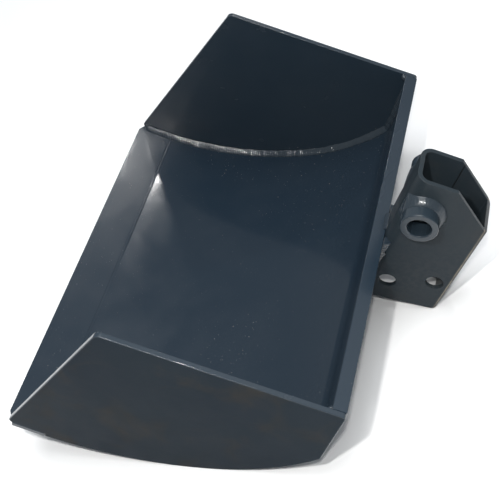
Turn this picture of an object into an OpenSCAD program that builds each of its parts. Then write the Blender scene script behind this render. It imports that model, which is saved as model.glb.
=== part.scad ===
// Welded steel excavator bucket with a hollow-section hanger.
//
// The pieces are drawn in the bucket's own section plane: u runs forward from the back face of the
// rear wall, w runs up out of the mouth from the plane of the top rim, and X runs across the width.
// seated() then turns the whole bucket back on its heel, as it lies on the ground, with the origin on
// the ground under the middle of the overall box, +Y towards the digging lip and +Z up.

/* [Bucket] */
// Overall width across the end plates
bucket_w = 500; // [420:10:600]
// Thickness of the shell and the end plates
plate_t = 6; // [5:0.5:7]
// Length of the end plate's top edge, from the rear corner to the front corner
rim_len = 248.5; // [235:0.5:255]
// Forward reach of the end plate's front edge, measured to nose_drop below the rim
nose_reach = 331.25; // [325:0.25:336]
// Depth below the rim at which nose_reach is measured
nose_drop = 240.85; // [236:0.25:245]
// Outside radius of the floor, from the lip back to the heel
floor_r = 382; // [380:0.5:385]
// Outside radius of the heel, from the floor up to the rear wall
heel_r = 281; // [275:0.5:286]
// Rounding of the end plate's front top corner
front_corner_r = 8; // [4:0.5:12]
// Rounding of the end plate's rear top corner
rear_corner_r = 4; // [2:0.5:6]

/* [Cutting edge] */
// Thickness of the cutting edge bar
edge_t = 8; // [7:0.5:10]
// Depth of the cutting edge bar behind the point where it touches the floor line
edge_back = 24; // [20:0.5:30]
// Depth of the cutting edge bar in front of that point, at its top
edge_front = 23; // [21:0.5:26]
// Slope of the front face, measured along the bar
edge_bevel = 5; // [2:0.5:7]
// Corner cut along the width
corner_cut_x = 13; // [8:0.5:18]
// Corner cut along the depth
corner_cut_u = 8; // [5:0.5:10]

/* [Rear rim] */
// Width of the flat bar on the rear rim
rim_bar_w = 15; // [12:0.5:20]
// Thickness of the flat bar on the rear rim
rim_bar_t = 8; // [6:0.5:10]

/* [Hanger] */
// Width of the hollow section across the cheeks
hanger_w = 50; // [46:0.5:56]
// Depth of the hollow section, away from the rear wall
hanger_d = 93; // [88:0.5:100]
// Wall of the hollow section
hanger_t = 5; // [4:0.5:6]
// Outside radius of the two corners at the rear wall
hanger_r = 13; // [11:0.5:14]
// Outside radius of the two corners away from the rear wall
hanger_ro = 6.5; // [6.5:0.5:9]
// Height of the hollow section above the rim
hanger_up = 102; // [96:0.5:110]
// Length of the square end before the slope begins
hanger_flat = 44.5; // [40:0.5:50]
// Height above the rim at which the slope reaches the outer wall
hanger_slope_end = 57.5; // [50:0.5:66]
// Depth of the lower end below the rim, at the rear wall
hanger_down = 103.5; // [100:0.5:106]
// Rise of the lower end from the rear wall to the outer wall
hanger_foot_rise = 15.5; // [12:0.5:18]

/* [Pins] */
// Bore of the arm pin bushes, closed at the bottom by the cheek
arm_bore_d = 25; // [20:0.5:26]
// Outside diameter of the arm pin bushes
bush_od = 40; // [36:0.5:42]
// Stand-off of each bush from its cheek
bush_len = 21; // [16:0.5:25]
// Arm pin centre behind the rear wall
arm_pin_u = 22; // [22:0.5:24]
// Arm pin centre above the rim
arm_pin_w = 57; // [52:0.5:60]
// Diameter of the two link pin holes
link_hole_d = 20; // [16:0.5:22]
// Inner link pin hole behind the rear wall
link_in_u = 25.7; // [24:0.1:28]
// Inner link pin hole below the rim
link_in_w = 65.5; // [62:0.5:68]
// Outer link pin hole behind the rear wall
link_out_u = 73.9; // [70:0.1:75]
// Outer link pin hole below the rim
link_out_w = 43.3; // [40:0.1:46]

/* [Welds] */
// Leg of the long fillet welds inside the bucket
weld_leg = 7; // [5:0.5:8]
// Leg of the weld ring round each bush
ring_leg = 6.5; // [5:0.5:6.5]
// Height of the weld ring up each bush
ring_rise = 8; // [6:0.5:9]

/* [Hidden] */
$fn = 96;
paint = [0.23, 0.27, 0.31];
paint_dark = [0.20, 0.23, 0.25];
paint_light = [0.25, 0.30, 0.35];
hanger_col = [0.24, 0.27, 0.29];
bush_col = [0.30, 0.35, 0.40];
weld_col = [0.28, 0.32, 0.36];

hw = bucket_w / 2;            // half width
hi = hw - plate_t;            // inner face of an end plate
// centre of the floor arc, and the point where the heel arc takes over
c1 = [295.85, 129.6];
join_u = 105.2;
join_a = 360 - acos((join_u - c1[0]) / floor_r);
join_dir = [cos(join_a), sin(join_a)];
c2 = c1 + (floor_r - heel_r) * join_dir;
// the heel's outside at a height w, and the height where it reaches u
function heel_u(w) = c2[0] - sqrt(heel_r * heel_r - (w - c2[1]) * (w - c2[1]));
function heel_w(u) = c2[1] - sqrt(heel_r * heel_r - (u - c2[0]) * (u - c2[0]));
// the cutting edge lies along the floor's tangent, 1 mm proud underneath
edge_a = 2.42;
edge_o = c1 + (floor_r + 1) * [sin(edge_a), -cos(edge_a)];
edge_tip = edge_o + edge_front * [cos(edge_a), sin(edge_a)] + edge_t * [-sin(edge_a), cos(edge_a)];
// weld gap between the shell and the cutting edge
gap = 2;
// front edge of an end plate
front_dir = [nose_reach - rim_len, -nose_drop] / norm([nose_reach - rim_len, -nose_drop]);
// where the front edge meets the top face of the cutting edge
edge_top = edge_o + edge_t * [-sin(edge_a), cos(edge_a)];
nose_k = ((edge_top[0] - rim_len) * sin(edge_a) - edge_top[1] * cos(edge_a))
       / (front_dir[0] * sin(edge_a) - front_dir[1] * cos(edge_a));
nose = [rim_len, 0] + nose_k * front_dir;
// outer lower corner of the hanger, which touches the ground
foot = [-hanger_d, -hanger_down + hanger_foot_rise];
// the ground line touches the foot and the floor arc
foot_v = c1 - foot;
ground_a = atan2(foot_v[1], foot_v[0]) + acos(floor_r / norm(foot_v));
tilt = 90 - ground_a;
lift = floor_r - (c1[0] * cos(ground_a) + c1[1] * sin(ground_a));
function seat_y(p) = p[0] * cos(tilt) - p[1] * sin(tilt);
function seat_z(p) = p[0] * sin(tilt) + p[1] * cos(tilt) + lift;
y_front = seat_y(edge_tip);
y_rear = seat_y([-hanger_d, hanger_slope_end]);
shift = -(y_front + y_rear) / 2;

// ---- placing ----
// turns the bucket onto its heel and hanger foot, with the ground at Z = 0
module seated() { translate([0, shift, lift]) rotate([tilt, 0, 0]) children(); }
// extrudes a drawing in (u, w) along X
module across(x0, x1) { translate([x0, 0, 0]) rotate([90, 0, 90]) linear_extrude(x1 - x0) children(); }
// a solid of revolution about an X axis at p, with its profile drawn as (radius, X)
module turned(p, a0 = 0, da = 360) {
    translate([0, p[0], p[1]]) rotate([90, 0, 90]) rotate([0, 0, a0]) rotate_extrude(angle = da) children();
}
module right_to_left() { mirror([1, 0, 0]) children(); }

// ---- section drawings ----
// everything inside the shell's outer face, moved in by d
module tub(d) {
    intersection() {
        translate(c1) circle(floor_r - d);
        union() {
            translate(c1) rotate(join_a) translate([-700, 0]) square([1400, 900]);
            translate(c2) circle(heel_r - d);
        }
        translate([d, -500]) square([900, 1000]);
    }
}
// cuts the corner at p between the directions a1 and a2 to a radius r
module corner_round(p, a1, a2, r) {
    h = abs(a2 - a1) / 2;
    m = (a1 + a2) / 2;
    o = p + r / sin(h) * [cos(m), sin(m)];
    k = r / tan(h);
    difference() {
        polygon([p - 0.2 * [cos(m), sin(m)], p + k * [cos(a1), sin(a1)] - 0.2 * [cos(m), sin(m)], p + k * [cos(a1), sin(a1)],
                 o, p + k * [cos(a2), sin(a2)], p + k * [cos(a2), sin(a2)] - 0.2 * [cos(m), sin(m)]]);
        translate(o) circle(r);
    }
}
// the cutting edge bar's frame: along the bar, and up from its underside
module on_edge() { translate(edge_o) rotate(edge_a) children(); }

module plate_outline() {
    fa = atan2(front_dir[1], front_dir[0]);
    difference() {
        intersection() {
            tub(0);
            polygon([[0, 0], [rim_len, 0], nose, nose + [0, -60], [0, -400]]);
        }
        on_edge() translate([-edge_back, -20]) square([120, 20 + edge_t]);
        corner_round([0, 0], 0, -90, rear_corner_r);
        corner_round([rim_len, 0], 180, 360 + fa, front_corner_r);
        corner_round(nose, 180 + fa, 180 + edge_a, 5);
    }
}

// ---- bucket ----
module bucket_shell() {
    color(paint) seated() across(-hi, hi) difference() {
        intersection() {
            tub(0);
            on_edge() translate([-edge_back - gap - 800, -100]) square([800, 900]);
            translate([-10, -400]) square([500, 400 - rim_bar_t]);
        }
        tub(plate_t);
    }
}
module end_plate_blank() { across(hi, hw) plate_outline(); }
module right_end_plate() { color(paint_dark) seated() end_plate_blank(); }
module left_end_plate() { color(paint_dark) seated() right_to_left() end_plate_blank(); }

module cutting_edge() {
    color(paint) seated() difference() {
        across(-hw, hw) on_edge()
            polygon([[-edge_back, 0], [edge_front - edge_bevel, 0], [edge_front, edge_t], [-edge_back, edge_t]]);
        for (s = [-1, 1]) translate([0, edge_o[0], edge_o[1]]) rotate([edge_a, 0, 0])
            translate([0, 0, -20]) linear_extrude(60)
                polygon([[s * hw, edge_front - corner_cut_u], [s * (hw - corner_cut_x), edge_front],
                         [s * (hw - corner_cut_x), edge_front + 20], [s * (hw + 20), edge_front + 20],
                         [s * (hw + 20), edge_front - corner_cut_u]]);
    }
}
module rear_rim_bar() {
    color(paint_light) seated() across(-hi, hi) translate([0, -rim_bar_t]) square([rim_bar_w, rim_bar_t]);
}

// ---- hanger ----
// a rectangle with its corners rounded to ro at the bottom and r at the top
module rounded(w, d, r, ro) {
    translate([-w / 2 + r, d / 2]) square([w - 2 * r, d / 2]);
    translate([-w / 2 + ro, 0]) square([w - 2 * ro, d / 2]);
    translate([-w / 2, ro]) square([w, d - r - ro]);
    for (x = [-w / 2 + r, w / 2 - r]) translate([x, d - r]) circle(r);
    for (x = [-w / 2 + ro, w / 2 - ro]) translate([x, ro]) circle(ro);
}
module hanger_solid() {
    translate([0, -hanger_d, -150]) linear_extrude(300) rounded(hanger_w, hanger_d, hanger_r, hanger_ro);
}
module pin_hole(u, w, d) { translate([-100, -u, w]) rotate([0, 90, 0]) cylinder(h = 200, d = d); }
module hanger_tube() {
    foot_k = hanger_foot_rise / hanger_d;
    slope_k = (hanger_up - hanger_slope_end) / (hanger_d - hanger_flat);
    color(hanger_col) seated() difference() {
        intersection() {
            difference() {
                hanger_solid();
                translate([0, -hanger_d + hanger_t, -160]) linear_extrude(320)
                    rounded(hanger_w - 2 * hanger_t, hanger_d - 2 * hanger_t, hanger_r - hanger_t, hanger_ro - hanger_t);
            }
            across(-60, 60) polygon([[10, hanger_up], [-hanger_flat, hanger_up],
                [-hanger_d - 10, hanger_slope_end - 10 * slope_k],
                [-hanger_d - 10, foot[1] + 10 * foot_k], [10, -hanger_down - 10 * foot_k]]);
        }
        pin_hole(link_in_u, -link_in_w, link_hole_d);
        pin_hole(link_out_u, -link_out_w, link_hole_d);
    }
}
module pin_bush_blank() {
    x0 = hanger_w / 2;
    x1 = x0 + bush_len;
    ri = arm_bore_d / 2;
    ro = bush_od / 2;
    turned([-arm_pin_u, arm_pin_w])
        polygon([[ri, x0], [ro, x0], [ro, x1 - 0.8], [ro - 0.8, x1], [ri + 1, x1], [ri, x1 - 1]]);
}
module right_pin_bush() { color(bush_col) seated() pin_bush_blank(); }
module left_pin_bush() { color(bush_col) seated() right_to_left() pin_bush_blank(); }

// ---- weld metal ----
// a fillet drawn in a corner at the origin, legs l along +x and +y, with a slightly full face
module fillet(l) { polygon([[0, 0], [l, 0], [0.62 * l, 0.42 * l], [0.42 * l, 0.62 * l], [0, l]]); }

module end_weld_blank() {
    r1 = floor_r - plate_t;
    r2 = heel_r - plate_t;
    a_back = 180 + acos((c2[0] - plate_t) / r2);
    a_front = 270 + edge_a - atan((edge_back + 1) / r1);
    w_heel = c2[1] + r2 * sin(a_back);
    union() {
        // along the floor and round the heel
        turned(c1, join_a + 0.02, a_front - join_a - 0.02) translate([r1, hi]) rotate(180) fillet(weld_leg);
        turned(c2, a_back, join_a - a_back) translate([r2, hi]) rotate(180) fillet(weld_leg);
        // up the rear wall to the rim bar
        difference() {
            translate([hi, plate_t, w_heel]) linear_extrude(-rim_bar_t - w_heel) rotate(90) fillet(weld_leg);
            translate([hi, c2[0], c2[1]]) rotate([a_back, 0, 0]) translate([-20, 0, -0.02]) cube([40, 400, 100]);
        }
        // along the cutting edge to the nose
        translate([hi, edge_o[0], edge_o[1]]) rotate([edge_a, 0, 0]) translate([0, -edge_back, edge_t])
            rotate([-90, 0, 0]) linear_extrude(edge_back + edge_front - 9) rotate(180) fillet(weld_leg - 1);
    }
}
module right_end_weld() { color(weld_col) seated() end_weld_blank(); }
module left_end_weld() { color(weld_col) seated() right_to_left() end_weld_blank(); }

module cutting_edge_weld() {
    color(weld_col) seated() across(-hi, hi) difference() {
        on_edge() polygon([[-edge_back - gap, 0.9], [-edge_back, 0], [-edge_back, edge_t],
                           [-edge_back - 0.5, edge_t + 0.3], [-edge_back - gap + 0.5, edge_t + 0.3], [-edge_back - gap, edge_t - 0.2]]);
    }
}
module rim_bar_weld_blank() {
    translate([hi, rim_bar_w, -rim_bar_t]) linear_extrude(rim_bar_t - 0.5) rotate(90) fillet(5);
}
module right_rim_bar_weld() { color(weld_col) seated() rim_bar_weld_blank(); }
module left_rim_bar_weld() { color(weld_col) seated() right_to_left() rim_bar_weld_blank(); }
// under the rim bar, where it overhangs the rear wall
module rim_bar_seam_weld() {
    color(weld_col) seated() across(-hi + weld_leg + 1, hi - weld_leg - 1)
        translate([plate_t, -rim_bar_t]) rotate(-90) fillet(4.5);
}

module bush_weld_blank() {
    x0 = hanger_w / 2;
    ro = bush_od / 2;
    // the ring stops just short of the plane of the rear wall
    stop = -0.6;
    intersection() {
        union() {
            turned([-arm_pin_u, arm_pin_w]) translate([ro, x0]) scale([1, ring_rise / ring_leg]) fillet(ring_leg);
            // fills the space over the hollow section's rounded corner
            difference() {
                translate([x0 - 0.7 * hanger_r, -arm_pin_u, arm_pin_w]) rotate([0, 90, 0]) cylinder(h = 0.7 * hanger_r, r = ro + ring_leg);
                hanger_solid();
                translate([-100, -300, -100]) cube([200, 300 - hanger_r, 400]);
            }
        }
        translate([-100, -200, -100]) cube([200, 200 + stop, 400]);
    }
}
module right_bush_weld() { color(weld_col) seated() bush_weld_blank(); }
module left_bush_weld() { color(weld_col) seated() right_to_left() bush_weld_blank(); }

// fills the groove between the hollow section's rounded corner and the rear wall
module hanger_weld_blank() {
    x0 = hanger_w / 2;
    difference() {
        translate([0, 0, -92]) linear_extrude(91.5)
            polygon([[x0 - hanger_r + 0.5, 0], [x0 + 5, 0], [x0 + 3.2, -3.6], [x0 + 0.5, -hanger_r + 3.5], [x0 - 1.5, -hanger_r + 3.5]]);
        hanger_solid();
    }
}
module right_hanger_weld() { color(weld_col) seated() hanger_weld_blank(); }
module left_hanger_weld() { color(weld_col) seated() right_to_left() hanger_weld_blank(); }
module hanger_top_weld() {
    color(weld_col) seated() across(-hanger_w / 2 + hanger_r, hanger_w / 2 - hanger_r) fillet(4.5);
}
// fills the notch under the heel, where the shell turns away from the hollow section
module hanger_heel_weld() {
    w0 = heel_w(0) - 0.15;
    w1 = -hanger_down + 0.8;
    color(weld_col) seated() across(-hanger_w / 2 + hanger_r, hanger_w / 2 - hanger_r)
        polygon([[0, w0], [0, w1 - 0.4], [heel_u(w1) - 0.15, w1]]);
}

bucket_shell();
left_end_plate();
right_end_plate();
cutting_edge();
rear_rim_bar();
hanger_tube();
left_pin_bush();
right_pin_bush();
left_end_weld();
right_end_weld();
cutting_edge_weld();
left_rim_bar_weld();
right_rim_bar_weld();
rim_bar_seam_weld();
left_bush_weld();
right_bush_weld();
left_hanger_weld();
right_hanger_weld();
hanger_top_weld();
hanger_heel_weld();
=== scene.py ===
import math
import random

import bmesh
import bpy
import numpy as np
from mathutils import Matrix, Vector, noise

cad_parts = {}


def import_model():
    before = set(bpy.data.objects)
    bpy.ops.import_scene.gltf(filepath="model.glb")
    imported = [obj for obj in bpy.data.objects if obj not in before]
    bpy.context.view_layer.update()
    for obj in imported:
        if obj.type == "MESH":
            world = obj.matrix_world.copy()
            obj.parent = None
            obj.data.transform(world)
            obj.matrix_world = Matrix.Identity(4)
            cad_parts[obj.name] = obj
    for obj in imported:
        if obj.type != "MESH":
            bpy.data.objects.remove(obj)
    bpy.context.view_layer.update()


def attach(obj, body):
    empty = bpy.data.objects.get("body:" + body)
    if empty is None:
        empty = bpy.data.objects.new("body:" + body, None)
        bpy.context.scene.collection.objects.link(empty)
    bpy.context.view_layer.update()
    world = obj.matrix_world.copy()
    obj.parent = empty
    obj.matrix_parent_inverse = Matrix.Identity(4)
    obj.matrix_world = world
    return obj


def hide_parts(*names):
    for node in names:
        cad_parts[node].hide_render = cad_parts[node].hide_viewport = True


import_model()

# ---------------------------------------------------------------- the bucket's own section frame
# x runs across the width, u forward from the rear wall, w up out of the mouth, all in millimetres.
HALF, T = 250.0, 6.0
HI = HALF - T
C1, R1, R2 = (295.85, 129.6), 382.0, 281.0
JOIN = 2 * math.pi - math.acos((105.2 - C1[0]) / R1)
C2 = (C1[0] + (R1 - R2) * math.cos(JOIN), C1[1] + (R1 - R2) * math.sin(JOIN))
EDGE_A = math.radians(2.42)
EU, EV = (math.cos(EDGE_A), math.sin(EDGE_A)), (-math.sin(EDGE_A), math.cos(EDGE_A))
EO = (C1[0] + (R1 + 1) * math.sin(EDGE_A), C1[1] - (R1 + 1) * math.cos(EDGE_A))
EDGE_BACK, EDGE_FRONT, EDGE_T, GAP = 24.0, 23.0, 8.0, 2.0


def on_edge(a, b):
    """A point a along the cutting edge bar and b up from its underside."""
    return (EO[0] + a * EU[0] + b * EV[0], EO[1] + a * EU[1] + b * EV[1])


FOOT = (-93.0, -88.0)
_v = (C1[0] - FOOT[0], C1[1] - FOOT[1])
GROUND = math.atan2(_v[1], _v[0]) + math.acos(R1 / math.hypot(*_v))
TILT = math.pi / 2 - GROUND
LIFT = R1 - (C1[0] * math.cos(GROUND) + C1[1] * math.sin(GROUND))
CT, ST = math.cos(TILT), math.sin(TILT)
_tip = on_edge(EDGE_FRONT, EDGE_T)
SHIFT = -((_tip[0] * CT - _tip[1] * ST) + (-93.0 * CT - 57.5 * ST)) / 2


def world(p):
    x, u, w = p
    return Vector((x, u * CT - w * ST + SHIFT, u * ST + w * CT + LIFT)) * 0.001


def direction(v):
    x, u, w = v
    return Vector((x, u * CT - w * ST, u * ST + w * CT))


# ---------------------------------------------------------------- materials
def paint(name, base, alt, rough=0.30, coat=0.35, coat_rough=0.07, smudge=0.0, smudge_col=(0.05, 0.045, 0.04),
          dust=0.5, peel=0.5, wave=0.4, worn=0.0, grain=(1, 1, 1), ior=1.42, edge_col=(0.20, 0.19, 0.18),
          corner_highlight_and_shade=None):
    m = bpy.data.materials.new(name)
    m.use_nodes = True
    nt = m.node_tree
    nt.nodes.clear()
    N = nt.nodes.new
    L = nt.links.new
    out = N("ShaderNodeOutputMaterial")
    bs = N("ShaderNodeBsdfPrincipled")
    L(bs.outputs[0], out.inputs[0])
    tc = N("ShaderNodeTexCoord")
    mp = N("ShaderNodeMapping")
    mp.inputs["Rotation"].default_value = (-TILT, 0, 0)
    mp.inputs["Scale"].default_value = grain
    L(tc.outputs["Object"], mp.inputs[0])
    V = mp.outputs[0]

    def noise_tex(scale, detail=2.0, rough_=0.5, dist=0.0, vec=V):
        n = N("ShaderNodeTexNoise")
        n.inputs["Scale"].default_value = scale
        n.inputs["Detail"].default_value = detail
        n.inputs["Roughness"].default_value = rough_
        n.inputs["Distortion"].default_value = dist
        L(vec, n.inputs["Vector"])
        return n.outputs["Fac"]

    def ramp(fac, lo, hi, a=0.0, b=1.0):
        r = N("ShaderNodeMapRange")
        r.interpolation_type = "SMOOTHSTEP"
        r.inputs[1].default_value, r.inputs[2].default_value = lo, hi
        r.inputs[3].default_value, r.inputs[4].default_value = a, b
        L(fac, r.inputs[0])
        return r.outputs[0]

    def math_(op, a, b):
        n = N("ShaderNodeMath")
        n.operation = op
        for i, q in enumerate((a, b)):
            if isinstance(q, (int, float)):
                n.inputs[i].default_value = q
            else:
                L(q, n.inputs[i])
        return n.outputs[0]

    def mix(fac, a, b):
        n = N("ShaderNodeMix")
        n.data_type = "RGBA"
        if isinstance(fac, (int, float)):
            n.inputs[0].default_value = fac
        else:
            L(fac, n.inputs[0])
        for i, q in ((6, a), (7, b)):
            if isinstance(q, tuple):
                n.inputs[i].default_value = (*q, 1)
            else:
                L(q, n.inputs[i])
        return n.outputs[2]

    # slow drift of the enamel's tone
    tone = ramp(noise_tex(7.0, 3.0, 0.55), 0.35, 0.65)
    col = mix(tone, tuple(base), tuple(alt))
    # dried smears and handling marks
    sm = ramp(noise_tex(16.0, 5.0, 0.62, 0.6), 0.47, 0.72)
    sm2 = ramp(noise_tex(60.0, 3.0, 0.6, 0.3), 0.3, 0.75, 0.55, 1.0)
    sm = math_("MULTIPLY", math_("MULTIPLY", sm, sm2), smudge)
    col = mix(sm, col, tuple(smudge_col))

    # grit: two sizes of bright specks, thicker in patches
    def specks(scale, size, keep):
        v = N("ShaderNodeTexVoronoi")
        v.inputs["Scale"].default_value = scale
        L(V, v.inputs["Vector"])
        s = ramp(v.outputs["Distance"], size, size * 0.45)
        sp = N("ShaderNodeSeparateColor")
        L(v.outputs["Color"], sp.inputs[0])
        k = ramp(sp.outputs[0], keep, keep + 0.02)
        return math_("MULTIPLY", s, k), sp.outputs[1]
    patch = ramp(noise_tex(9.0, 2.0), 0.38, 0.68, 0.15, 1.0)
    s1, r1 = specks(150.0, 0.085, 0.72)
    s2, r2 = specks(420.0, 0.14, 0.84)
    grit = math_("MULTIPLY", math_("MULTIPLY", math_("MAXIMUM", s1, s2), patch), dust)
    film = math_("MULTIPLY", math_("MULTIPLY", ramp(noise_tex(900.0, 2.0, 0.7), 0.55, 0.8), patch), dust * 0.16)
    dustcol = mix(r1, (0.36, 0.38, 0.40), (0.46, 0.37, 0.30))
    col = mix(film, col, (0.16, 0.17, 0.18))
    col = mix(grit, col, dustcol)
    if corner_highlight_and_shade:
        # painted highlight: a light brownish line along the hanger's outer corner where its rounding starts, with a
        # darker strip of painted shade past it
        sx = N("ShaderNodeSeparateXYZ")
        L(V, sx.inputs[0])
        u0, w0 = (SHIFT * CT + LIFT * ST) * 0.001, (-SHIFT * ST + LIFT * CT) * 0.001
        wob = math_("MULTIPLY", noise_tex(45.0, 2.0), 0.0012)
        lean = math_("MULTIPLY", math_("SUBTRACT", sx.outputs[2], w0), corner_highlight_and_shade[1])
        off = math_("SUBTRACT", math_("SUBTRACT", math_("SUBTRACT", sx.outputs[1], u0), lean), corner_highlight_and_shade[0])
        off = math_("ADD", off, wob)
        outer = ramp(math_("ABSOLUTE", sx.outputs[0], 0.0), 0.0205, 0.0212)
        # painted shade: the darker strip past the line
        painted_shade_strip = ramp(off, 0.0009, -0.0005)
        col = mix(math_("MULTIPLY", math_("MULTIPLY", painted_shade_strip, outer), 0.72), col, (0.0035, 0.0060, 0.0085))
        # painted highlight: the light line where the corner's rounding starts
        line = math_("MULTIPLY", ramp(off, 0.0016, 0.0004), ramp(off, -0.0014, -0.0003))
        line = math_("MULTIPLY", math_("MULTIPLY", line, outer), ramp(noise_tex(70.0, 3.0), 0.30, 0.62, 0.45, 1.0))
        col = mix(line, col, (0.150, 0.128, 0.100))
    if worn > 0:
        # thin paint on raised edges
        g = N("ShaderNodeNewGeometry")
        pt = ramp(g.outputs["Pointiness"], 0.52, 0.60)
        pt = math_("MULTIPLY", math_("MULTIPLY", pt, ramp(noise_tex(220.0, 3.0), 0.40, 0.62)), worn)
        col = mix(pt, col, tuple(edge_col))
    L(col, bs.inputs["Base Color"])

    r = ramp(noise_tex(28.0, 3.0), 0.3, 0.7, rough - 0.035, rough + 0.05)
    r = math_("ADD", r, math_("MULTIPLY", sm, 0.18))
    r = math_("ADD", r, math_("MULTIPLY", grit, 0.4))
    L(r, bs.inputs["Roughness"])
    bs.inputs["IOR"].default_value = ior
    bs.inputs["Coat Weight"].default_value = coat
    bs.inputs["Coat Roughness"].default_value = coat_rough
    bs.inputs["Coat IOR"].default_value = 1.45

    # orange peel, slow ripple of the sheet, grit standing proud
    b1 = N("ShaderNodeBump")
    b1.inputs["Strength"].default_value = 0.35 * peel
    b1.inputs["Distance"].default_value = 0.00025
    L(noise_tex(620.0, 2.0, 0.5), b1.inputs["Height"])
    b2 = N("ShaderNodeBump")
    b2.inputs["Strength"].default_value = 0.5 * wave
    b2.inputs["Distance"].default_value = 0.0018
    L(noise_tex(26.0, 2.0, 0.45), b2.inputs["Height"])
    L(b1.outputs[0], b2.inputs["Normal"])
    b3 = N("ShaderNodeBump")
    b3.inputs["Strength"].default_value = 0.5
    b3.inputs["Distance"].default_value = 0.0003
    L(grit, b3.inputs["Height"])
    L(b2.outputs[0], b3.inputs["Normal"])
    L(b3.outputs[0], bs.inputs["Normal"])
    cb = N("ShaderNodeBump")
    cb.inputs["Strength"].default_value = 0.12 * peel
    cb.inputs["Distance"].default_value = 0.0003
    L(noise_tex(380.0, 1.0, 0.5), cb.inputs["Height"])
    L(cb.outputs[0], bs.inputs["Coat Normal"])
    return m


# placement of the painted highlight line and painted shade on the hanger's outer corner: offset in u, and lean with w
CORNER_HIGHLIGHT_AND_SHADE = (-0.0890, 0.004)
SHELL = paint("enamel_shell", (0.0100, 0.0185, 0.0290), (0.0125, 0.0210, 0.0315), rough=0.22, coat=0.38, coat_rough=0.08,
              dust=0.7, peel=1.0, wave=0.5, ior=1.27)
PLATE = paint("enamel_end_plate", (0.0035, 0.0100, 0.0175), (0.0050, 0.0120, 0.0190), rough=0.36, coat=0.03, coat_rough=0.16,
              smudge=0.75, smudge_col=(0.026, 0.0235, 0.0190), dust=0.10, peel=0.8, wave=0.35, ior=1.12, worn=0.3,
              edge_col=(0.10, 0.11, 0.12))
# the inside faces and edges keep more gloss than the outside and a lighter base colour; the much darker base colour of
# the outside faces is painted shade
PLATE_IN = paint("enamel_end_plate_inside", (0.0140, 0.0230, 0.0330), (0.0160, 0.0250, 0.0350), rough=0.22, coat=0.40, coat_rough=0.08,
                 smudge=0.1, smudge_col=(0.030, 0.030, 0.030), dust=0.25, peel=0.9, wave=0.35, ior=1.38, worn=0.35,
                 edge_col=(0.14, 0.16, 0.18))
BAR = paint("enamel_rim_bar", (0.0115, 0.0205, 0.0310), (0.0150, 0.0245, 0.0355), rough=0.24, coat=0.30, coat_rough=0.10,
            dust=0.25, peel=0.6, wave=0.2, worn=0.15, grain=(0.35, 1, 1), ior=1.38)
# the hanger's paint carries the painted highlight line and painted shade along its outer corner
HANGER = paint("enamel_hanger", (0.0170, 0.0240, 0.0300), (0.0200, 0.0270, 0.0320), rough=0.36, coat=0.08, coat_rough=0.2,
               smudge=0.35, smudge_col=(0.040, 0.036, 0.033), dust=0.12, peel=0.7, wave=0.25, worn=0.25, ior=1.19,
               edge_col=(0.12, 0.115, 0.105), corner_highlight_and_shade=CORNER_HIGHLIGHT_AND_SHADE)
BUSH = paint("enamel_bush", (0.0160, 0.0250, 0.0340), (0.0200, 0.0290, 0.0375), rough=0.17, coat=0.5, coat_rough=0.05, dust=0.10,
             peel=0.5, wave=0.05, worn=0.15, ior=1.38)
WELD = paint("enamel_weld", (0.0120, 0.0190, 0.0270), (0.0170, 0.0250, 0.0330), rough=0.15, coat=0.45, coat_rough=0.04, dust=0.25,
             peel=2.6, wave=0.1, worn=0.3, ior=1.34)
RING = paint("enamel_ring", (0.0160, 0.0240, 0.0320), (0.0200, 0.0280, 0.0355), rough=0.27, coat=0.3, coat_rough=0.12, dust=0.10,
             peel=0.6, wave=0.1, worn=0.1, ior=1.38)
SEAM = paint("seam_flash", (0.0060, 0.0070, 0.0080), (0.0100, 0.0110, 0.0120), rough=0.5, coat=0.0, dust=0.2, peel=1.0, wave=0.3,
             ior=1.3)


# ---------------------------------------------------------------- mesh helpers
def new_object(name, verts, faces):
    me = bpy.data.meshes.new(name)
    me.from_pydata([world(v) for v in verts], [], faces)
    me.validate(clean_customdata=False)
    bm = bmesh.new()
    bm.from_mesh(me)
    bmesh.ops.remove_doubles(bm, verts=bm.verts, dist=1e-6)
    bmesh.ops.recalc_face_normals(bm, faces=bm.faces)
    bm.to_mesh(me)
    bm.free()
    ob = bpy.data.objects.new(name, me)
    bpy.context.scene.collection.objects.link(ob)
    return ob


def prism(name, outline, x0, x1, slices=1):
    """An outline in (u, w) carried across from x0 to x1."""
    n = len(outline)
    verts, faces = [], []
    for k in range(slices + 1):
        x = x0 + (x1 - x0) * k / slices
        verts += [(x, u, w) for u, w in outline]
    for k in range(slices):
        for i in range(n):
            j = (i + 1) % n
            faces.append((k * n + i, k * n + j, (k + 1) * n + j, (k + 1) * n + i))
    faces.append(tuple(range(n)))
    faces.append(tuple(slices * n + i for i in range(n)))
    return new_object(name, verts, faces)


def arc(c, r, a0, a1, n):
    return [(c[0] + r * math.cos(a0 + (a1 - a0) * i / n), c[1] + r * math.sin(a0 + (a1 - a0) * i / n)) for i in range(n + 1)]


def done(ob, node, mat, bevel=0.6, segments=3, angle=32):
    ob.data.materials.clear()
    ob.data.materials.append(mat)
    for p in ob.data.polygons:
        p.use_smooth = True
    if bevel:
        b = ob.modifiers.new("edge", "BEVEL")
        b.width = bevel * 0.001
        b.segments = segments
        b.limit_method = "ANGLE"
        b.angle_limit = math.radians(angle)
        b.harden_normals = False
        b.use_clamp_overlap = True
        w = ob.modifiers.new("normals", "WEIGHTED_NORMAL")
        w.mode = "FACE_AREA"
        w.weight = 80
        w.keep_sharp = True
    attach(ob, "root")
    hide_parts(node)
    return ob


# ---------------------------------------------------------------- outlines
def line_hit(p, d, q, e):
    """Where p + k d meets q + j e."""
    den = d[0] * e[1] - d[1] * e[0]
    k = ((q[0] - p[0]) * e[1] - (q[1] - p[1]) * e[0]) / den
    return (p[0] + k * d[0], p[1] + k * d[1])


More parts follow.
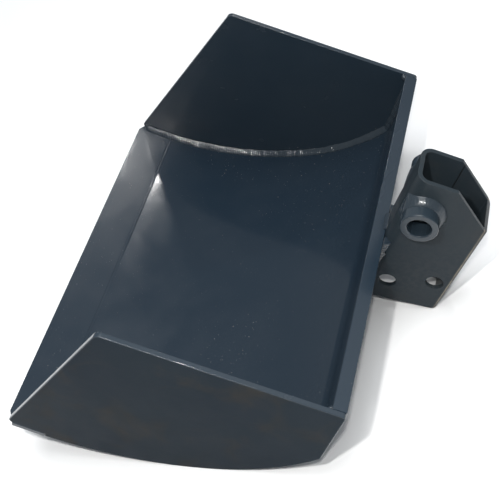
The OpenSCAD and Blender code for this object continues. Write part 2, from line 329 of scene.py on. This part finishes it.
def fillet_corner(a, p, b, r, n):
    """The corner a-p-b rounded to r, as points."""
    da = np.array(a) - p
    db = np.array(b) - p
    da = da / np.linalg.norm(da)
    db = db / np.linalg.norm(db)
    half = math.acos(max(-1, min(1, float(da @ db)))) / 2
    k = r / math.tan(half)
    m = (da + db) / np.linalg.norm(da + db)
    o = np.array(p) + m * r / math.sin(half)
    s, e = np.array(p) + da * k - o, np.array(p) + db * k - o
    a0, a1 = math.atan2(s[1], s[0]), math.atan2(e[1], e[0])
    while a1 - a0 > math.pi:
        a1 -= 2 * math.pi
    while a1 - a0 < -math.pi:
        a1 += 2 * math.pi
    return [(o[0] + r * math.cos(a0 + (a1 - a0) * i / n), o[1] + r * math.sin(a0 + (a1 - a0) * i / n)) for i in range(n + 1)]


FRONT = np.array([331.25 - 248.5, -240.85])
FRONT = FRONT / np.linalg.norm(FRONT)
NOSE = line_hit((248.5, 0.0), FRONT, on_edge(0, EDGE_T), EU)


def heel_angle(r, u):
    return math.pi + math.acos((C2[0] - u) / r)


def floor_angle_at_edge(r, along):
    return 1.5 * math.pi + EDGE_A - math.atan2(along, R1 + 1 - EDGE_T)


def plate_outline():
    rear_top = fillet_corner((0, -60), (0, 0), (200, 0), 4.0, 8)
    front_top = fillet_corner((100, 0), (248.5, 0), NOSE, 8.0, 12)
    nose = fillet_corner((248.5, 0), NOSE, on_edge(-10, EDGE_T), 5.0, 8)
    # down the rear of the notch over the cutting edge, then back along the floor and round the heel
    pts = rear_top + front_top + nose
    pts.append(on_edge(-EDGE_BACK, EDGE_T))
    # where the rear of the notch meets the floor arc
    a_end = 1.5 * math.pi + EDGE_A - math.asin(EDGE_BACK / R1)
    pts += arc(C1, R1, a_end, JOIN, 110)
    pts += arc(C2, R2, JOIN, heel_angle(R2, 0.0), 70)[1:]
    return pts


# ---------------------------------------------------------------- shell
def shell():
    top = -8.0
    a_end_out = 1.5 * math.pi + EDGE_A - math.asin((EDGE_BACK + GAP) / R1)
    a_end_in = 1.5 * math.pi + EDGE_A - math.asin((EDGE_BACK + GAP) / (R1 - T))
    outer = [(0.0, top), (0.0, top - 30), (0.0, top - 60)]
    outer += arc(C2, R2, heel_angle(R2, 0.0), JOIN, 80) + arc(C1, R1, JOIN, a_end_out, 120)[1:]
    inner = arc(C1, R1 - T, a_end_in, JOIN, 120)
    # the bend at the heel is rounded inside, as folded sheet is
    a_in = heel_angle(R2 - T, T)
    heel = arc(C2, R2 - T, JOIN, a_in, 80)[1:]
    corner = heel[-1]
    keep = [q for q in heel if q[1] < corner[1] - 0.1 and math.dist(q, corner) > 10]
    soft = fillet_corner(keep[-1], corner, (T, top), 34.0, 10)
    keep = [q for q in keep if math.dist(q, corner) > math.dist(soft[0], corner) + 0.5]
    inner += keep + soft + [(T, top - 50), (T, top - 25), (T, top)]
    outline = outer + inner
    n = len(outline)
    slices = 60
    verts, faces = [], []
    for k in range(slices + 1):
        x = -HI + 2 * HI * k / slices
        f = 1 - (2 * k / slices - 1) ** 4
        for i, (u, w) in enumerate(outline):
            if i >= len(outer):
                # the sheet isn't perfectly even between the end plates
                g = noise.noise(Vector((x * 0.011, u * 0.013, w * 0.013 + 5.0)))
                d = 0.28 * g * f
                du, dw = C1[0] - u, C1[1] - w
                s = math.hypot(du, dw)
                u, w = u + du / s * d, w + dw / s * d
            verts.append((x, u, w))
    for k in range(slices):
        for i in range(n):
            j = (i + 1) % n
            faces.append((k * n + i, k * n + j, (k + 1) * n + j, (k + 1) * n + i))
    faces.append(tuple(range(n)))
    faces.append(tuple(slices * n + i for i in range(n)))
    return new_object("shell", verts, faces)


done(shell(), "bucket_shell", SHELL, bevel=0.5, segments=2, angle=50)


# ---------------------------------------------------------------- end plates
outline = plate_outline()
for side, tag in ((-1, "left"), (1, "right")):
    ob = prism(f"{tag}_plate", outline, side * HI, side * HALF)
    done(ob, f"{tag}_end_plate", PLATE, bevel=0.9, segments=4, angle=32)
    ob.data.materials.append(PLATE_IN)
    # outside faces take the darker base colour of painted shade, inside faces and edges the lighter one
    for p in ob.data.polygons:
        p.material_index = 0 if p.normal.x * side > 0.9 else 1
    ob.modifiers["edge"].material = 1


# ---------------------------------------------------------------- cutting edge
def cutting_edge():
    bevel = 5.0
    cut_x, cut_u = 13.0, 8.0
    # rows across the width, with the front corners cut off
    xs = [-HALF, -HALF + cut_x] + [-HALF + cut_x + (2 * HALF - 2 * cut_x) * k / 24 for k in range(1, 24)] + [HALF - cut_x, HALF]
    verts, faces = [], []
    for x in xs:
        lim = EDGE_FRONT - (cut_u if abs(abs(x) - HALF) < 1e-6 else 0.0)
        low = min(EDGE_FRONT - bevel, lim)
        verts += [(x, *on_edge(-EDGE_BACK, 0)), (x, *on_edge(low, 0)), (x, *on_edge(lim, EDGE_T if lim == EDGE_FRONT else EDGE_T)),
                  (x, *on_edge(-EDGE_BACK, EDGE_T))]
    for k in range(len(xs) - 1):
        for i in range(4):
            j = (i + 1) % 4
            faces.append((k * 4 + i, k * 4 + j, (k + 1) * 4 + j, (k + 1) * 4 + i))
    faces.append((0, 1, 2, 3))
    m = (len(xs) - 1) * 4
    faces.append((m, m + 1, m + 2, m + 3))
    return new_object("lip_bar", verts, faces)


done(cutting_edge(), "cutting_edge", SHELL, bevel=0.9, segments=3)


# ---------------------------------------------------------------- rim bar
def rim_bar():
    prof = [(0.0, -8.0), (15.0, -8.0), (15.0, 0.0), (0.0, 0.0)]
    return prism("rim_flat", prof, -HI, HI, 40)


done(rim_bar(), "rear_rim_bar", BAR, bevel=1.0, segments=4)


# ---------------------------------------------------------------- hanger
def rounded_rect(w, d0, d1, r, ro, n=14):
    """A rectangle in (x, u) from u = -d0 to u = -d1, rounded to r at the wall side and ro at the outer side."""
    pts = []
    for cx, cu, a0, q in ((w / 2 - r, -d0 - r, 0, r), (-w / 2 + r, -d0 - r, 90, r), (-w / 2 + ro, -d1 + ro, 180, ro), (w / 2 - ro, -d1 + ro, 270, ro)):
        for i in range(n + 1):
            a = math.radians(a0 + 90 * i / n)
            pts.append((cx + q * math.cos(a), cu + q * math.sin(a)))
    return pts


def column(name, pts, w0, w1):
    n = len(pts)
    verts = [(x, u, w0) for x, u in pts] + [(x, u, w1) for x, u in pts]
    faces = [(i, (i + 1) % n, n + (i + 1) % n, n + i) for i in range(n)]
    faces += [tuple(range(n)), tuple(n + i for i in range(n))]
    return new_object(name, verts, faces)


def rod(name, u, w, r, n=96, x0=-60.0, x1=60.0):
    pts = [(u + r * math.cos(2 * math.pi * i / n), w + r * math.sin(2 * math.pi * i / n)) for i in range(n)]
    return prism(name, pts, x0, x1)


def cut(ob, tool, how="DIFFERENCE"):
    m = ob.modifiers.new("cut", "BOOLEAN")
    m.operation = how
    m.solver = "EXACT"
    m.object = tool
    dg = bpy.context.evaluated_depsgraph_get()
    me = bpy.data.meshes.new_from_object(ob.evaluated_get(dg))
    ob.modifiers.clear()
    old = ob.data
    ob.data = me
    bpy.data.meshes.remove(old)
    t = tool.data
    bpy.data.objects.remove(tool)
    bpy.data.meshes.remove(t)
    return ob


HR, HRI, HRO, SLOPE_END = 13.0, 8.0, 6.5, 57.5


def cheek_x(u):
    """Half width of the hollow section's outside at u."""
    u = max(-93.0 + 1e-6, min(-1e-6, u))
    if u > -HR:
        return 25.0 - HR + math.sqrt(HR ** 2 - (u + HR) ** 2)
    if u < -93.0 + HRO:
        return 25.0 - HRO + math.sqrt(HRO ** 2 - (u + 93.0 - HRO) ** 2)
    return 25.0


def hanger():
    slope = (102.0 - SLOPE_END) / (93.0 - 44.5)
    foot = 15.5 / 93.0
    ob = column("hollow_section", rounded_rect(50.0, 0.0, 93.0, HR, HRO, 20), -150, 150)
    cut(ob, column("bore_tool", rounded_rect(40.0, 5.0, 88.0, HRI, HRO - 5.0, 16), -160, 160))
    keep = [(10, 102.0), (-44.5, 102.0), (-103.0, SLOPE_END - 10 * slope), (-103.0, FOOT[1] + 10 * foot), (10, -103.5 - 10 * foot)]
    cut(ob, prism("end_tool", keep, -60, 60), "INTERSECT")
    # break the edges before drilling, so that the cheeks stay plain flat faces
    b = ob.modifiers.new("edge", "BEVEL")
    b.width = 0.0007
    b.segments = 3
    b.limit_method = "ANGLE"
    b.angle_limit = math.radians(38)
    dg = bpy.context.evaluated_depsgraph_get()
    me = bpy.data.meshes.new_from_object(ob.evaluated_get(dg))
    ob.modifiers.clear()
    ob.data = me
    for u, w_ in ((-25.7, -65.5), (-73.9, -43.3)):
        cut(ob, rod("link_tool", u, w_, 10.0))
        # countersunk mouths, 0.5 mm deep
        for side in (-1, 1):
            n = 96
            ring_a = [(side * 24.5, u + 10.0 * math.cos(2 * math.pi * i / n), w_ + 10.0 * math.sin(2 * math.pi * i / n)) for i in range(n)]
            ring_b = [(side * 25.5, u + 11.0 * math.cos(2 * math.pi * i / n), w_ + 11.0 * math.sin(2 * math.pi * i / n)) for i in range(n)]
            fs = [(i, (i + 1) % n, n + (i + 1) % n, n + i) for i in range(n)] + [tuple(range(n)), tuple(n + i for i in range(n))]
            cut(ob, new_object("mouth_tool", ring_a + ring_b, fs))
    return ob


ob = done(hanger(), "hanger_tube", HANGER, bevel=0)
ob.data.set_sharp_from_angle(angle=math.radians(34))
wn = ob.modifiers.new("normals", "WEIGHTED_NORMAL")
wn.mode = "FACE_AREA"
wn.weight = 90
wn.keep_sharp = True


def lathe(name, prof, c, sign, n=128):
    """A closed profile of (radius, |x|) turned about the X axis through c."""
    verts, faces = [], []
    m = len(prof)
    for k in range(n):
        a = 2 * math.pi * k / n
        for r, x in prof:
            verts.append((sign * x, c[0] + r * math.cos(a), c[1] + r * math.sin(a)))
    for k in range(n):
        q = (k + 1) % n
        for i in range(m):
            j = (i + 1) % m
            faces.append((k * m + i, k * m + j, q * m + j, q * m + i))
    return new_object(name, verts, faces)


PIN = (-22.0, 57.0)
for side, tag in ((-1, "left"), (1, "right")):
    prof = [(12.5, 24.3), (16.0, 24.3), (20.0, 24.3), (20.0, 32.0), (20.0, 40.0), (20.0, 45.2), (19.2, 46.0), (16.5, 46.0), (13.5, 46.0),
            (12.5, 45.0), (12.5, 38.0)]
    ob = lathe(f"{tag}_bush", prof, PIN, side)
    done(ob, f"{tag}_pin_bush", BUSH, bevel=0.35, segments=3, angle=30)


# ---------------------------------------------------------------- weld beads
def bead(name, stations, pitch=3.2, amp=0.35, bulge=0.10, lump=0.10, seed=1, rows=18, step=0.45, spatter=0, flat=0.45, ends=5.0):
    """A weld bead. stations is a list of (root, a, b): the corner point and the two leg vectors, in millimetres."""
    rnd = random.Random(seed)
    roots = np.array([s[0] for s in stations], float)
    A = np.array([s[1] for s in stations], float)
    B = np.array([s[2] for s in stations], float)
    seg = np.linalg.norm(np.diff(roots + 0.5 * (A + B), axis=0), axis=1)
    s = np.concatenate([[0], np.cumsum(seg)])
    total = s[-1]
    n = max(8, int(total / step))
    q = np.linspace(0, total, n + 1)

    def along(arr):
        return np.stack([np.interp(q, s, arr[:, i]) for i in range(3)], 1)
    roots, A, B = along(roots), along(A), along(B)
    offs = rnd.uniform(0, 100)
    # the welder's pace is uneven
    phase = np.array([v / pitch + 0.55 * noise.noise(Vector((v / 14.0, offs, 0.0))) for v in q])
    wide_a = np.array([1 + lump * noise.noise(Vector((v / 9.0, offs + 7.0, 0.0))) + 0.5 * lump * noise.noise(Vector((v / 3.0, offs + 9.0, 0.0))) for v in q])
    wide_b = np.array([1 + lump * noise.noise(Vector((v / 8.0, offs + 17.0, 0.0))) + 0.5 * lump * noise.noise(Vector((v / 2.6, offs + 19.0, 0.0))) for v in q])
    high = np.array([1 + 2.2 * lump * noise.noise(Vector((v / 12.0, offs + 27.0, 0.0))) for v in q])
    verts, faces = [], []
    for i, v in enumerate(q):
        e = min(v, total - v)
        k = 1.0 if ends <= 0 else min(1.0, math.sqrt(max(0.0, 1 - (1 - min(1.0, e / ends)) ** 2)) + 0.02)
        a, b = A[i] * wide_a[i] * (0.35 + 0.65 * k), B[i] * wide_b[i] * (0.35 + 0.65 * k)
        size = 0.5 * (np.linalg.norm(a) + np.linalg.norm(b))
        out = a + b
        out = out / np.linalg.norm(out)
        for j in range(rows + 1):
            t = j / rows
            ph = phase[i] - 0.75 * (1 - (2 * t - 1) ** 2)
            rip = abs(math.sin(math.pi * ph)) ** 0.7
            edge = math.sin(math.pi * t) ** flat if 0 < t < 1 else 0.0
            fine = noise.noise(Vector((v * 0.9, t * 6.0, offs)))
            h = bulge * size * edge * high[i] * k + (amp * (rip - 0.6) + 0.10 * fine) * edge * k
            p = roots[i] + a * (1 - t) + b * t + out * h
            if t in (0.0, 1.0):
                p = p - out * 0.15
            verts.append(tuple(p))
        verts.append(tuple(roots[i] - out * 0.2))
    m = rows + 2
    for i in range(n):
        for j in range(m):
            r = (j + 1) % m
            faces.append((i * m + j, i * m + r, (i + 1) * m + r, (i + 1) * m + j))
    faces.append(tuple(range(m)))
    faces.append(tuple(n * m + j for j in range(m)))
    # droplets thrown out beside the bead
    for _ in range(spatter):
        i = rnd.randrange(4, n - 4)
        which, leg = (A, 1) if rnd.random() < 0.5 else (B, 1)
        d = which[i] / np.linalg.norm(which[i])
        o = (B if which is A else A)[i]
        o = o / np.linalg.norm(o)
        r = rnd.uniform(0.25, 0.7)
        c = roots[i] + d * (np.linalg.norm(which[i]) + rnd.uniform(1.0, 9.0)) + o * r * 0.25
        base = len(verts)
        rings, secs = 5, 8
        tang = np.cross(d, o)
        for a_ in range(rings + 1):
            th = math.pi * a_ / rings
            for b_ in range(secs):
                f = 2 * math.pi * b_ / secs
                verts.append(tuple(c + r * (math.sin(th) * (math.cos(f) * d + math.sin(f) * tang) + math.cos(th) * o * 0.75)))
        for a_ in range(rings):
            for b_ in range(secs):
                g = (b_ + 1) % secs
                faces.append((base + a_ * secs + b_, base + a_ * secs + g, base + (a_ + 1) * secs + g, base + (a_ + 1) * secs + b_))
    return new_object(name, verts, faces)


def end_weld_stations(side, leg):
    """Down the rear wall, round the heel, along the floor and the cutting edge, to the nose."""
    st = []
    x = side * HI
    b = (-side * leg, 0, 0)
    a_in = heel_angle(R2 - T, T)
    low = (C2[0] + (R2 - T) * math.cos(a_in), C2[1] + (R2 - T) * math.sin(a_in))
    for k in range(10):
        w = -8.5 + (low[1] + 8.5) * k / 10
        st.append(((x, T, w), (0, leg, 0), b))
    for c, r, a0, a1, n in ((C2, R2 - T, a_in, JOIN, 40), (C1, R1 - T, JOIN, floor_angle_at_edge(0, EDGE_BACK + 1), 60)):
        for u, w in arc(c, r, a0 + (0.01 if c is C2 else 0), a1, n):
            d = (c[0] - u, c[1] - w)
            s = math.hypot(*d)
            st.append(((x, u, w), (0, leg * d[0] / s, leg * d[1] / s), b))
    for k in range(1, 9):
        u, w = on_edge(-EDGE_BACK + (EDGE_BACK + EDGE_FRONT - 8.5) * k / 8, EDGE_T)
        g = leg * (1 - 0.15 * k / 8)
        st.append(((x, u, w), (0, g * EV[0], g * EV[1]), (-side * g, 0, 0)))
    return st


def done_weld(ob, node):
    ob.data.materials.append(WELD)
    for p in ob.data.polygons:
        p.use_smooth = True
    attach(ob, "root")
    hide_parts(node)
    return ob


for side, tag in ((-1, "left"), (1, "right")):
    ob = bead(f"{tag}_long_bead", end_weld_stations(side, 6.6), seed=11 + side, spatter=26)
    done_weld(ob, f"{tag}_end_weld")

# butt bead between shell and cutting edge, dressed nearly flush
st = []
for k in range(41):
    x = -HI + 2 * HI * k / 40
    r = on_edge(-EDGE_BACK - GAP / 2, EDGE_T - 1.2)
    up = 1.25
    a = (0, -1.6 * EU[0] + up * EV[0], -1.6 * EU[1] + up * EV[1])
    b = (0, 1.6 * EU[0] + up * EV[0], 1.6 * EU[1] + up * EV[1])
    st.append(((x, *r), a, b))
top_bead = bead("lip_bead", st, amp=0.02, bulge=0.02, lump=0.02, seed=5, rows=8, step=1.5, ends=0)
r0, r1 = on_edge(-EDGE_BACK - GAP, 0.9), on_edge(-EDGE_BACK, 0.0)
r2, r3 = on_edge(-EDGE_BACK, EDGE_T - 0.1), on_edge(-EDGE_BACK - GAP, EDGE_T - 0.3)
strip = prism("lip_strip", [r0, r1, r2, r3], -HI, HI, 20)
strip.data.materials.append(WELD)
top_bead.data.materials.append(WELD)
bm = bmesh.new()
bm.from_mesh(top_bead.data)
bm.from_mesh(strip.data)
bm.to_mesh(top_bead.data)
bm.free()
bpy.data.objects.remove(strip)
for p in top_bead.data.polygons:
    p.use_smooth = True
    p.material_index = 0
top_bead.data.materials.clear()
top_bead.data.materials.append(SHELL)
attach(top_bead, "root")
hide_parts("cutting_edge_weld")

# corner beads of the rim bar, and the fillet under it
for side, tag in ((-1, "left"), (1, "right")):
    st = [((side * HI, 15.0, w), (0, 4.6, 0), (-side * 4.6, 0, 0)) for w in (-8.0, -6.0, -4.0, -2.0, -0.6)]
    done_weld(bead(f"{tag}_rim_bead", st, pitch=2.4, amp=0.5, bulge=0.18, lump=0.35, seed=31 + side, rows=14, step=0.3, ends=1.6),
              f"{tag}_rim_bar_weld")
st = [((-HI + 8 + (2 * HI - 16) * k / 30, T, -8.0), (0, 4.2, 0), (0, 0, -4.2)) for k in range(31)]
done_weld(bead("rim_under_bead", st, seed=41, amp=0.25, rows=12), "rim_bar_seam_weld")

# hanger beads in the flare grooves, at the top and under the heel
for side, tag in ((-1, "left"), (1, "right")):
    st = []
    for k in range(20):
        w = -91.0 + 90.3 * k / 19
        st.append(((side * 17.5, -0.9, w), (side * 12.3, 0.9, 0), (side * 7.0, -8.4, 0)))
    done_weld(bead(f"{tag}_groove_bead", st, pitch=3.4, amp=0.45, bulge=0.16, lump=0.22, seed=51 + side, spatter=10, ends=3.0),
              f"{tag}_hanger_weld")
st = [((-12.0 + 24.0 * k / 10, 0.0, 0.0), (0, 4.2, 0), (0, 0, 4.2)) for k in range(11)]
done_weld(bead("hanger_top_bead", st, pitch=2.8, amp=0.3, bulge=0.14, lump=0.2, seed=61, ends=2.0), "hanger_top_weld")
heel_u = C2[0] - math.sqrt(R2 ** 2 - (-102.4 - C2[1]) ** 2)
st = [((-12.0 + 24.0 * k / 10, 0.6, -96.0), (0, heel_u - 0.8, -6.0), (0, -0.5, -7.0)) for k in range(11)]
done_weld(bead("hanger_heel_bead", st, pitch=3.0, amp=0.2, bulge=0.05, lump=0.1, seed=62, ends=2.0), "hanger_heel_weld")


# rings round the bushes, carried down over the hollow section's rounded corner
def ring(name, side, leg=6.4, rise=8.1, seed=71):
    n, rows = 300, 22
    offs = seed * 1.7
    verts, faces = [], []
    m = rows + 4
    stop = -0.7
    for k in range(n):
        a = 2 * math.pi * k / n
        ca, sa = math.cos(a), math.sin(a)
        lr = leg * (1 + 0.05 * noise.noise(Vector((3 * ca, 3 * sa, offs))) + 0.02 * noise.noise(Vector((9 * ca, 9 * sa, offs))))
        lx = rise * (1 + 0.05 * noise.noise(Vector((2.5 * ca, 2.5 * sa, offs + 3))) + 0.015 * noise.noise(Vector((11 * ca, 11 * sa, offs))))
        toe = 20.0 + lr
        x_toe = max(cheek_x(PIN[0] + toe * ca), 14.5) if PIN[0] + toe * ca > -HR else 25.0
        col = []
        for j in range(rows + 1):
            t = j / rows
            r = 20.0 + lr * t
            x = (25.0 + lx) * (1 - t) + x_toe * t
            ed = math.sin(math.pi * t) ** 0.75 if 0 < t < 1 else 0.0
            ph = k / n * 40 - 0.5 * (1 - (2 * t - 1) ** 2)
            h = ed * (0.75 + 0.10 * (abs(math.sin(math.pi * ph)) ** 0.8 - 0.6) + 0.22 * noise.noise(Vector((5 * ca, 5 * sa, t * 2 + offs))))
            r, x = r + h * 0.75, x + h * 0.6
            if j == 0:
                r -= 0.15
            col.append((r, x))
        col += [(toe, x_toe - 0.8), (toe - 3.0, cheek_x(min(stop, PIN[0] + (toe - 3.0) * ca)) - 1.5), (19.4, cheek_x(PIN[0] + 19.4 * ca) - 1.5)]
        for r, x in col:
            u, w = PIN[0] + r * ca, PIN[1] + r * sa
            if u > -6:
                u = stop - 0.45 * math.log(1 + math.exp(-(u - stop) / 0.45))
            verts.append((side * x, u, w))
    for k in range(n):
        q = (k + 1) % n
        for j in range(m):
            r_ = (j + 1) % m
            faces.append((k * m + j, k * m + r_, q * m + r_, q * m + j))
    return new_object(name, verts, faces)


for side, tag in ((-1, "left"), (1, "right")):
    ob = done_weld(ring(f"{tag}_ring_bead", side, seed=71 + side), f"{tag}_bush_weld")
    ob.data.materials[0] = RING

# the flash of the hollow section's own long seam, on the inside of the right cheek
st = [((20.0, -48.0, -96.0 + 195.0 * k / 40), (0, 0.55, 0), (-0.35, -0.3, 0)) for k in range(41)]
ob = bead("seam_flash", st, pitch=6.0, amp=0.10, bulge=0.3, lump=0.9, seed=91, rows=6, step=0.7, ends=0)
ob.data.materials.append(SEAM)
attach(ob, "root")
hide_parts("hanger_tube")


# ---------------------------------------------------------------- stage, lights, camera
def stage_material():
    m = bpy.data.materials.new("studio_floor")
    m.use_nodes = True
    nt = m.node_tree
    bs = nt.nodes["Principled BSDF"]
    tc = nt.nodes.new("ShaderNodeTexCoord")
    nz = nt.nodes.new("ShaderNodeTexNoise")
    nz.inputs["Scale"].default_value = 3.0
    nt.links.new(tc.outputs["Object"], nz.inputs["Vector"])
    mx = nt.nodes.new("ShaderNodeMix")
    mx.data_type = "RGBA"
    mx.inputs[6].default_value = (0.80, 0.80, 0.80, 1)
    mx.inputs[7].default_value = (0.84, 0.84, 0.84, 1)
    nt.links.new(nz.outputs["Fac"], mx.inputs[0])
    nt.links.new(mx.outputs[2], bs.inputs["Base Color"])
    bs.inputs["Roughness"].default_value = 0.9
    bs.inputs["Specular IOR Level"].default_value = 0.0
    return m


me = bpy.data.meshes.new("studio_floor")
me.from_pydata([(-14, -14, 0), (14, -14, 0), (14, 14, 0), (-14, 14, 0)], [], [(0, 1, 2, 3)])
floor = bpy.data.objects.new("studio_floor", me)
bpy.context.scene.collection.objects.link(floor)
floor.data.materials.append(stage_material())


def aim(ob, at, target):
    ob.location = at
    ob.rotation_euler = (Vector(target) - Vector(at)).to_track_quat("-Z", "Y").to_euler()


def area(name, at, target, size, watts, colour=(1, 1, 1), size_y=None):
    li = bpy.data.lights.new(name, "AREA")
    li.shape = "RECTANGLE" if size_y else "DISK"
    li.size = size
    if size_y:
        li.size_y = size_y
    li.energy = watts
    li.color = colour
    ob = bpy.data.objects.new(name, li)
    bpy.context.scene.collection.objects.link(ob)
    aim(ob, at, target)
    return ob


CAM = np.array([-698.69, 152.11, 782.77])
RIGHT = np.array([0.2407, -0.9483, 0.2066])
UP = np.array([0.7553, 0.3167, 0.5738])
FWD = np.array([0.6096, -0.0179, -0.7925])
mid = world((0, 120, -120))


def far(v, dist):
    return mid + direction(v).normalized() * dist


area("flash", world(CAM + 75 * UP), mid, 0.045, 4.2, (1.0, 0.99, 0.97))
area("lamp", world((-680, 405, 865)), world((0, 150, -180)), 0.05, 8.0, (1.0, 0.99, 0.97))
area("window", far((0.702, 0.198, 0.684), 2.5), mid, 0.16, 9.0, (1.0, 0.99, 0.97))
area("ceiling", far((0.05, 0.42, 0.905), 5.0), mid, 3.4, 184.0, (0.97, 0.985, 1.0), 3.4)

w = bpy.data.worlds.new("studio")
w.use_nodes = True
nt = w.node_tree
bg = nt.nodes["Background"]
tc = nt.nodes.new("ShaderNodeTexCoord")
dp = nt.nodes.new("ShaderNodeVectorMath")
dp.operation = "DOT_PRODUCT"
dp.inputs[1].default_value = direction((0.47, -0.20, 0.86)).normalized()
nt.links.new(tc.outputs["Generated"], dp.inputs[0])
mr = nt.nodes.new("ShaderNodeMapRange")
mr.interpolation_type = "SMOOTHSTEP"
mr.inputs[1].default_value, mr.inputs[2].default_value = 0.92, 1.0
mr.inputs[3].default_value, mr.inputs[4].default_value = 0.40, 1.1
nt.links.new(dp.outputs["Value"], mr.inputs[0])
nt.links.new(mr.outputs[0], bg.inputs[1])
bg.inputs[0].default_value = (0.90, 0.95, 1.0, 1)
bpy.context.scene.world = w

cam = bpy.data.cameras.new("camera")
cam.sensor_width = 36.0
cam.lens = 956.779 / 500 * 36
cam.clip_start = 0.01
cam.clip_end = 60
co = bpy.data.objects.new("camera", cam)
bpy.context.scene.collection.objects.link(co)
R = direction(RIGHT / np.linalg.norm(RIGHT))
F = direction(FWD / np.linalg.norm(FWD))
U = R.cross(F)
M = Matrix.Identity(4)
for i in range(3):
    M[i][0], M[i][1], M[i][2] = R[i], U[i], -F[i]
M.translation = world(CAM)
co.matrix_world = M
bpy.context.scene.camera = co

vs = bpy.context.scene.view_settings
vs.view_transform = "Standard"
vs.look = "None"
